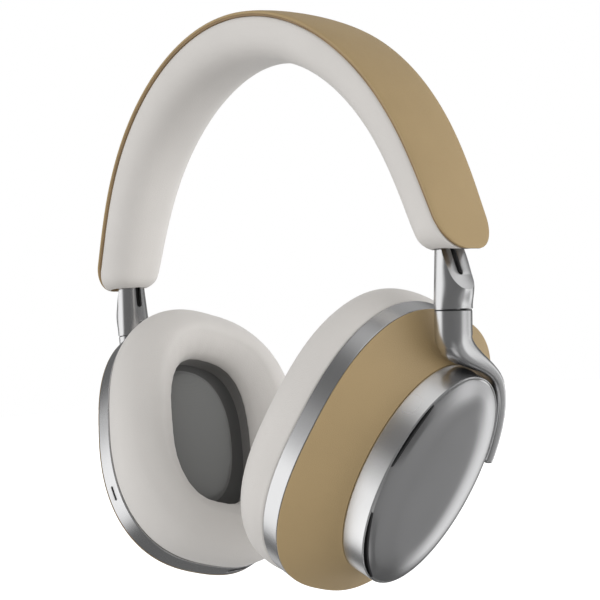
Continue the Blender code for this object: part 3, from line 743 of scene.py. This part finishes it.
def yoke_sections():
    """Sections down the yoke: round at the swivel, turning backwards, then a strap round the cup's collar."""
    frame = cup_frame()
    strap = []
    for i in range(STRAP_POINTS + 1):
        strap.append(frame @ strap_point(STRAP_START + (STRAP_END - STRAP_START) * i / STRAP_POINTS))
    foot = row(ARM_FOOT) - arm_axis() * GAP
    elbow = foot - arm_axis() * ELBOW_DROP
    low_handle = elbow - arm_axis() * LOW_HANDLE
    high_handle = strap[0] - (strap[1] - strap[0]).normalized() * HIGH_HANDLE
    path = [foot]
    for i in range(NECK_POINTS):
        t = i / NECK_POINTS
        path.append(elbow * (1 - t) ** 3 + low_handle * 3 * t * (1 - t) ** 2
                    + high_handle * 3 * t * t * (1 - t) + strap[0] * t**3)
    path += strap
    fine = smooth_profile(path, steps=PATH_STEPS)
    outward = cup_axes()[2]
    sections = []
    for k, point in enumerate(fine):
        i = k / PATH_STEPS
        share = clamped((i - 1) / 8)
        ease = math.sin(math.pi / 2 * share)
        thick = YOKE_HALF_WIDTH + (STRAP_HALF_THICKNESS - YOKE_HALF_WIDTH) * ease
        wide = YOKE_HALF_DEPTH + (STRAP_HALF_WIDTH - YOKE_HALF_DEPTH) * ease
        tangent = (fine[min(k + 1, len(fine) - 1)] - fine[max(k - 1, 0)]).normalized()
        if k == 0:
            tangent = -arm_axis()
        place = frame_from(point, tangent, Vector((1, 0, 0)).lerp(outward, min(1, i / 10)))
        left = min(1, (fine[-1] - point).length / TIP_REACH)
        tip = math.sqrt(max(0.0, 1 - (1 - left) ** 2))
        draw_in = (1 - tip) * TIP_INSET
        squareness = ARM_SQUARENESS + (STRAP_SQUARENESS - ARM_SQUARENESS) * ease
        ring = oval_ring((wide - draw_in, thick - draw_in, squareness), 0, SMALL_RING_STEPS)
        sections.append([place @ p for p in ring])
    return sections


def make_yoke(mats, side_name, side):
    make(f"{side_name}_yoke_arm", loft(yoke_sections()), mats["metal"], f"{side_name}_yoke",
         [f"{side_name}_yoke"], mirror(side), sharp=YOKE_CRISP_ANGLE)


# Cups.
WALL = 0.002  # thickness of the silver ring and the shell


def ring_piece(name, oval, profile, finish, body, replaced, place, other=None):
    """A closed ring. The profile's points are (share towards the other oval, inset, depth)."""
    sections = []
    for share, draw_in, depth in profile:
        sections.append(oval_ring(mixed(oval, other or oval, share, draw_in), depth))
    return make(name, loft(sections, ring=True), finish, body, replaced, place)


def rim_place(place, oval, angle, depth):
    """A frame on a cup's rim: Z out of the rim, Y along it, X towards the plate."""
    point = oval_point(oval, angle, depth)
    tangent = (oval_point(oval, angle + 0.01, depth) - oval_point(oval, angle - 0.01, depth)).normalized()
    return place @ frame_from(point, tangent.cross(Vector((0, 0, 1))), Vector((0, 0, 1)))


# Openings in the rims: angle round the oval, half width across the rim and half length along it.
RIM_MIDDLE = 0.0038  # their depth
OPENING_REACH = 0.004  # how far the cutters reach to both sides of the rim's face
MICROPHONE = (math.radians(207.5), 0.00055, 0.0027)
OPENINGS = {
    "left": ((0.0, 0.0017, 0.0048),),
    "right": (
        MICROPHONE,
        (math.radians(16), 0.0017, 0.0033), (0.0, 0.0017, 0.0033), (math.radians(-16), 0.0017, 0.0033),
        (math.radians(-42), 0.0017, 0.0047), (math.radians(-72), 0.0019, 0.0048),
    ),
}


def make_inner_ring(mats, side_name, body, place):
    """The silver ring between cushion and shell, open for buttons, microphone and charging socket."""
    low, high = GAP, RING_DEPTH - 0.0002
    profile = filleted([(0, 0, low), (0, 0, high), (0, WALL, high), (0, WALL, low)], 0.0003)
    ring = ring_piece(f"{side_name}_rim", CUP_OVAL, profile, mats["metal"], body,
                      [f"{side_name}_inner_ring"], place)
    cuts = []
    for angle, half_width, half_length in OPENINGS[side_name]:
        spot = rim_place(place, CUP_OVAL, angle, RIM_MIDDLE)
        cuts.append((slab_shape(half_width, half_length, -OPENING_REACH, OPENING_REACH, 0.0001), spot))
    carve(ring, cuts, bevel=0.00008)
    if side_name == "right":
        angle, half_width, half_length = MICROPHONE
        margin = 0.0004
        lining = slab_shape(half_width + margin, half_length + margin, -0.0012, -0.0005, 0.0001)
        make("microphone_mesh", lining, mats["black"], body, [],
             rim_place(place, CUP_OVAL, angle, RIM_MIDDLE))


def make_shell(mats, side_name, body, place):
    """The tan shell: straight where it leaves the rim, then gently hollow towards the collar."""
    outer = [(0.0, 0.0, RING_DEPTH), (0.012, 0.0, 0.0077), (0.10, 0.0, 0.0085), (0.35, 0.0, 0.0110),
             (0.70, 0.0, 0.0147), (0.93, 0.0, 0.0172), (1.0, 0.0, SHELL_DEPTH - GAP)]
    inner = [(1.0, WALL, SHELL_DEPTH - GAP), (0.70, WALL, 0.0138), (0.35, WALL, 0.0100),
             (0.0, WALL, RING_DEPTH)]
    profile = smooth_profile(outer, steps=5) + inner
    ring_piece(f"{side_name}_shell_skin", CUP_OVAL, profile, mats["tan_shell"], body,
               [f"{side_name}_cup_shell"], place, NECK_OVAL)


COLLAR_TOP = COLLAR_DEPTH + 0.0008
COLLAR_TAPER = 0.0004
PLATE_INSET = 0.0009  # from the collar's foot to the plate's edge


def make_collar(mats, side_name, body, place):
    """The silver collar, which tapers a little towards the plate and ends in a narrow flat edge."""
    top, lip = COLLAR_TOP, PLATE_INSET - 0.0001
    corners = [(0, 0.0, SHELL_DEPTH - 0.0001), (0, COLLAR_TAPER, top - 0.0002), (0, lip, top),
               (0, lip, top - 0.0030), (0, lip + 0.0008, top - 0.0030), (0, 0.0020, SHELL_DEPTH)]
    wall = filleted(corners, [0.0002, 0.0002, 0.00012, 0, 0, 0.0002])
    ring_piece(f"{side_name}_collar", NECK_OVAL, wall, mats["collar"], body,
               [f"{side_name}_outer_ring"], place)


# The two crescents at the plate's edge: angle of the middle and half reach round the oval.
SLOTS = ((math.radians(160), math.radians(19)), (math.radians(230), math.radians(27)))
CRESCENT_DEPTH, CRESCENT_FULLNESS = 0.00125, 0.7


def slot_inset(angle):
    """How far the plate's edge is drawn in to leave the two crescents, which are painted dark as shade."""
    deepest = 0
    for middle, reach in SLOTS:
        x = abs((angle - middle + math.pi) % math.tau - math.pi) / reach
        if x < 1:
            deepest = max(deepest, (1 - x * x) ** CRESCENT_FULLNESS)
    return CRESCENT_DEPTH * deepest


def plate_sections(profile):
    """Sections of the plate. The profile's points are (inset, depth, share of the crescents)."""
    sections = []
    for draw_in, depth, share in profile:
        points = []
        for i in range(OVAL_STEPS):
            angle = math.tau * (i + 0.5) / OVAL_STEPS
            points.append(oval_point(inset(NECK_OVAL, draw_in + slot_inset(angle) * share), angle, depth))
        sections.append(points)
    return sections


def make_plate(mats, side_name, body, place):
    """The outer plate: flat in the middle, rolled down to a bright edge with two crescents cut from it. Its
    side and underside, and its bevel in the crescents, are painted black as the shade in the gap by the
    collar.
    """
    edge, side = COLLAR_TOP, PLATE_INSET
    start, lift, cut, fade = 0.0005, 0.00022, 0.97, 0.003  # of the roll, beyond the bevel
    bevel = [(side + 0.0006, edge - 0.0016, 1.0), (side, edge - 0.0014, 1.0), (side, edge - 0.0001, 1.0),
             (side + start, edge + lift, cut)]
    roll = [(start, lift), (0.0017, 0.00065), (0.0032, 0.0011), (0.0052, 0.0016), (0.0077, 0.0020),
            (0.0107, 0.00225), (0.0144, 0.0023), (0.0190, 0.0023)]
    curve = smooth_profile([(side + a, edge + b, 0) for a, b in roll], steps=5)
    face = [(p.x, p.y, max(0, cut - (p.x - side - start) / fade)) for p in curve]
    shape = loft(plate_sections(bevel + face[1:]))
    plate = make(f"{side_name}_plate_skin", shape, mats["plate"], body,
                 [f"{side_name}_outer_plate"], place, PLATE_CRISP_ANGLE)
    plate.data.materials.append(mats["bright"])
    plate.data.materials.append(mats["black"])
    # Painted shade: the underside and side strips, and the bevel in the crescents, take black for the shade
    # in the gap.
    for i, polygon in enumerate(plate.data.polygons[: OVAL_STEPS * 3]):
        strip, place_round = divmod(i, OVAL_STEPS)
        open_slot = slot_inset(math.tau * place_round / OVAL_STEPS) > 0
        polygon.material_index = 1 if strip == 2 and not open_slot else 2
    # Painted shade: a black ring below the plate's edge, so the gap and the crescents show dark as in shade.
    rim, floor, foot = PLATE_INSET - 0.0003, edge - 0.0018, edge - 0.0030
    well = [(0, 0.0034, foot), (0, rim, foot), (0, rim, floor), (0, 0.0060, floor), (0, 0.0060, foot)]
    ring_piece(f"{side_name}_plate_gap_shade", NECK_OVAL, well, mats["black"], body, [], place)


SOFT_OPENING = (0.0180, 0.0297, 2.7)
OPENING_SHIFT = 0.0010  # how far forward the opening sits
FOAM_SCALE, FOAM_SWELL = 55, 0.00035  # faint unevenness of the foam
PUCKER_COUNT, PUCKER_SWELL = 34, 0.00006
# Round the cushion, then round its lining: share towards the opening, inset, depth.
CUSHION_PROFILE = [
    (0.0, 0.0006, 0.0001), (0.0, 0.0001, -0.0004), (0.0, -0.0003, -0.0020), (0.0, -0.0006, -0.0045),
    (0.0, -0.0005, -0.0080), (0.0, 0.0004, -0.0112), (0.02, 0.0016, -0.0140), (0.08, 0.0030, -0.0163),
    (0.19, 0.0036, -0.0180), (0.36, 0.0028, -0.0188), (0.54, 0.0012, -0.0187), (0.68, 0.0, -0.0178),
    (0.80, -0.0003, -0.0163), (0.90, -0.0003, -0.0144), (0.97, 0.0, -0.0121), (1.0, 0.0002, -0.0098),
    (1.0, 0.0003, -0.0080), (1.0, -0.0004, -0.0074), (1.0, -0.0013, -0.0060), (1.0, -0.0014, -0.0004),
]
LINER_PROFILE = [
    (0.0, 0.0, -0.0083), (0.0, -0.0003, -0.0068), (0.0, -0.0006, -0.0050), (0.0, -0.0008, -0.0008),
    (0.0, -0.0013, -0.0008), (0.0, -0.0011, -0.0050), (0.0, -0.0010, -0.0066), (0.0, -0.0006, -0.0080),
]


def make_cushion(mats, side_name, body, place):
    """The ear cushion, leather over foam with faint puckers on the inner wall, and its dark lining."""
    sections = []
    for share, draw_in, depth in smooth_profile(CUSHION_PROFILE, steps=4):
        sections.append(oval_ring(mixed(CUP_OVAL, SOFT_OPENING, share, draw_in), depth))
    shape = loft(sections, ring=True)
    for vert in shape.verts:
        p = vert.co
        angle = math.atan2(p.y / CUP_OVAL[1], p.x / CUP_OVAL[0])
        reach = math.hypot(p.x / CUP_OVAL[0], p.y / CUP_OVAL[1])
        inner = clamped((0.82 - reach) / 0.2)
        soft = noise.noise(p * FOAM_SCALE) * FOAM_SWELL
        waver = 3 * noise.noise(Vector((p.x, p.y, 0)) * 40)
        pucker = math.sin(angle * PUCKER_COUNT + waver) * PUCKER_SWELL * inner
        forward = OPENING_SHIFT * clamped((0.95 - reach) / 0.35)
        if p.z < -0.0015:
            p = p + Vector((math.cos(angle), math.sin(angle), 0)) * (soft + pucker)
        vert.co = p - Vector((forward, 0, 0))
    cushion = make(f"{side_name}_cushion", shape, mats["grey"], body,
                   [f"{side_name}_ear_cushion"], place, SOFT_CRISP_ANGLE)
    lining = smooth_profile(LINER_PROFILE, closed=True, steps=3)
    ring_piece(f"{side_name}_liner", SOFT_OPENING, lining, mats["liner"], body, [],
               place @ Matrix.Translation((-OPENING_SHIFT, 0, 0)))


PANEL_SHIFT = 0.0045  # how far forward of the border the panel sits
SHIFT_START, SHIFT_REACH = 0.0005, 0.0040  # insets where the shift starts, and over which it grows
# The border's rows, which are painted darker as shade.
PAINTED_SHADE_STRIPS = 13


def make_ear_mesh(mats, side_name, body, place):
    """The cloth over the driver: a raised oval panel, set forward of the middle, inside a lower border. The
    border is painted darker, as the shade in the recess round the panel.
    """
    profile = [(-0.0004, -0.0016), (0.0010, -0.0016), (0.0030, -0.0017), (0.0046, -0.0022),
               (0.0058, -0.0034), (0.0072, -0.0042), (0.0110, -0.0047), (0.0170, -0.0049)]
    sections = [oval_ring(inset(OPENING, GAP), -0.0010)]
    for point in smooth_profile([(a, b, 0) for a, b in profile], steps=4):
        draw_in, depth = point.x, point.y
        forward = PANEL_SHIFT * clamped((draw_in - SHIFT_START) / SHIFT_REACH)
        ring = oval_ring(inset(OPENING, draw_in + GAP), depth)
        sections.append([p - Vector((forward, 0, 0)) for p in ring])
    cloth = make(f"{side_name}_ear_cloth", loft(sections), mats["mesh"], body,
                 [f"{side_name}_ear_mesh"], place, SOFT_CRISP_ANGLE)
    # Painted shade: the border's rows take the darker cloth.
    cloth.data.materials.append(mats["mesh_border_painted_shade"])
    for polygon in cloth.data.polygons[: OVAL_STEPS * PAINTED_SHADE_STRIPS]:
        polygon.material_index = 1


def make_cup(mats, side_name, side):
    place = mirror(side) @ cup_frame()
    body = f"{side_name}_cup"
    make_inner_ring(mats, side_name, body, place)
    make_shell(mats, side_name, body, place)
    make_collar(mats, side_name, body, place)
    make_plate(mats, side_name, body, place)
    make_cushion(mats, side_name, body, place)
    make_ear_mesh(mats, side_name, body, place)


def paint_cad(mats):
    """Materials for the CAD nodes that stay, by a part of their names."""
    finishes = {
        "headband_spring": "spring", "headband_frame": "black",
        "slider_guide": "black", "slider_rail": "spring",
        "arm_screw": "steel", "arm_cable": "rubber",
        "swivel_pin": "steel", "tilt_pin": "steel",
        "cushion_plate": "black", "baffle": "black",
        "driver_frame": "black", "driver_cone": "cone",
        "circuit_board": "board", "battery": "foil",
        "charging_port": "steel", "button": "button", "power_slider": "button",
    }
    for name, obj in frame["nodes"].items():
        for ending, finish in finishes.items():
            if ending in name:
                obj.data.materials.clear()
                obj.data.materials.append(mats[finish])


# Studio.


def heading(azimuth, elevation):
    """A direction from its compass angle, 0 towards the front and 90 towards the left cup, and its height."""
    azimuth, elevation = math.radians(azimuth), math.radians(elevation)
    level = math.cos(elevation)
    return math.sin(azimuth) * level, -math.cos(azimuth) * level, math.sin(elevation)


CAMERA_AZIMUTH, CAMERA_ELEVATION = 47.75, -2.07
CAMERA_ROLL = math.radians(-3.33)
CAMERA_DISTANCE = 0.4760
CAMERA_TARGET = (0.0143, 0, 0.0484)
CAMERA_LENS = 83.85
SENSOR_WIDTH = 36


def make_camera():
    back = Vector(heading(CAMERA_AZIMUTH, CAMERA_ELEVATION))
    right = (-back).cross(Vector((0, 0, 1))).normalized()
    up = right.cross(-back)
    tilted_right = math.cos(CAMERA_ROLL) * right + math.sin(CAMERA_ROLL) * up
    tilted_up = -math.sin(CAMERA_ROLL) * right + math.cos(CAMERA_ROLL) * up
    turn = Matrix((tilted_right, tilted_up, back)).transposed().to_4x4()
    data = bpy.data.cameras.new("camera")
    data.sensor_width = SENSOR_WIDTH
    data.lens = CAMERA_LENS
    data.clip_start = 0.01
    camera = bpy.data.objects.new("camera", data)
    camera.matrix_world = Matrix.Translation(row(CAMERA_TARGET) + back * CAMERA_DISTANCE) @ turn
    bpy.context.scene.collection.objects.link(camera)
    bpy.context.scene.camera = camera


# Soft lamps: compass angle, height, inner and outer radius in degrees, brightness.
FILL_GLOWS = (
    (-60, 0, 0, 50, 1.08), (0, 5, 0, 50, 1.0), (120, 4, 0, 36, 2.4), (165, -10, 0, 45, 1.3),
    (-140, 10, 0, 50, 1.4), (60, 10, 0, 50, 0.6),
)
FILL_BASE = 0.38
GLOSS_GLOWS = (
    (-54, -5, 14, 33, 1.15), (-30, 12, 4, 15, 0.5), (10, 67, 12, 29, 0.70), (134, -12, 5, 17, 0.95),
    (160, -8, 5, 17, 0.8), (178, -26, 9, 19, 1.25), (125, -38, 5, 34, 0.22), (-135, 45, 8, 30, 0.3),
    (-112, -30, 4, 18, 0.5), (37, -75, 6, 20, 0.5), (60, -48, 6, 22, 0.2), (146, 40, 6, 24, 0.75),
)
GLOSS_BASE = 0.15


def sky(nodes, links, direction, base, glows):
    """The brightness of an even sky with soft round lamps in it."""
    total = None
    for azimuth, elevation, inner, outer, brightness in glows:
        dot = nodes.new("ShaderNodeVectorMath")
        dot.operation = "DOT_PRODUCT"
        dot.inputs[1].default_value = heading(azimuth, elevation)
        links.new(direction, dot.inputs[0])
        spread = nodes.new("ShaderNodeMapRange")
        spread.interpolation_type = "SMOOTHSTEP"
        spread.inputs["From Min"].default_value = math.cos(math.radians(outer))
        spread.inputs["From Max"].default_value = math.cos(math.radians(inner))
        spread.inputs["To Max"].default_value = brightness
        links.new(dot.outputs["Value"], spread.inputs["Value"])
        add = nodes.new("ShaderNodeMath")
        add.operation = "ADD"
        add.inputs[1].default_value = base
        links.new(spread.outputs["Result"], add.inputs[0])
        if total is not None:
            links.new(total, add.inputs[1])
        total = add.outputs["Value"]
    return total


def make_sky():
    """White to look at, even soft light on dull surfaces, and lamps with darker gaps for metal to reflect."""
    world = bpy.data.worlds.new("studio")
    bpy.context.scene.world = world
    world.use_nodes = True
    nodes, links = world.node_tree.nodes, world.node_tree.links
    background = nodes["Background"]
    background.inputs["Color"].default_value = (1, 1, 1, 1)
    direction = nodes.new("ShaderNodeTexCoord").outputs["Generated"]
    path = nodes.new("ShaderNodeLightPath")
    fill = sky(nodes, links, direction, FILL_BASE, FILL_GLOWS)
    gloss = sky(nodes, links, direction, GLOSS_BASE, GLOSS_GLOWS)
    previous = fill
    for flag, value in (("Is Glossy Ray", gloss), ("Is Camera Ray", None)):
        mix = nodes.new("ShaderNodeMix")
        links.new(path.outputs[flag], mix.inputs["Factor"])
        links.new(previous, mix.inputs["A"])
        mix.inputs["B"].default_value = 1.0
        if value is not None:
            links.new(value, mix.inputs["B"])
        previous = mix.outputs["Result"]
    links.new(previous, background.inputs["Strength"])


def make_floor():
    floor_material, nodes, links, shader = new_material("studio_floor", (0.86, 0.86, 0.86), 0.9)
    tone = ramp(nodes, links, noise_node(nodes, links, coordinates(nodes, links), 2, 2.0),
                [(0.3, (0.91, 0.91, 0.91)), (0.7, (0.93, 0.93, 0.93))])
    links.new(tone, shader.inputs["Base Color"])
    shader.inputs["Emission Color"].default_value = (1, 1, 1, 1)
    shader.inputs["Emission Strength"].default_value = FLOOR_GLOW
    shape = bmesh.new()
    bmesh.ops.create_grid(shape, x_segments=8, y_segments=8, size=FLOOR_REACH)
    mesh = bpy.data.meshes.new("studio_floor")
    shape.to_mesh(mesh)
    shape.free()
    mesh.materials.append(floor_material)
    floor = bpy.data.objects.new("studio_floor", mesh)
    floor.location = (0, 0, FLOOR_HEIGHT)
    floor.visible_diffuse = False
    floor.visible_glossy = False
    floor.visible_shadow = False
    bpy.context.scene.collection.objects.link(floor)


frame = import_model()
make_camera()
materials = make_materials()
make_sky()
make_floor()
bpy.context.scene.view_settings.view_transform = "Standard"
make_headband(materials)
for label, sign in SIDES:
    make_arm(materials, label, sign)
    make_yoke(materials, label, sign)
    make_cup(materials, label, sign)
paint_cad(materials)
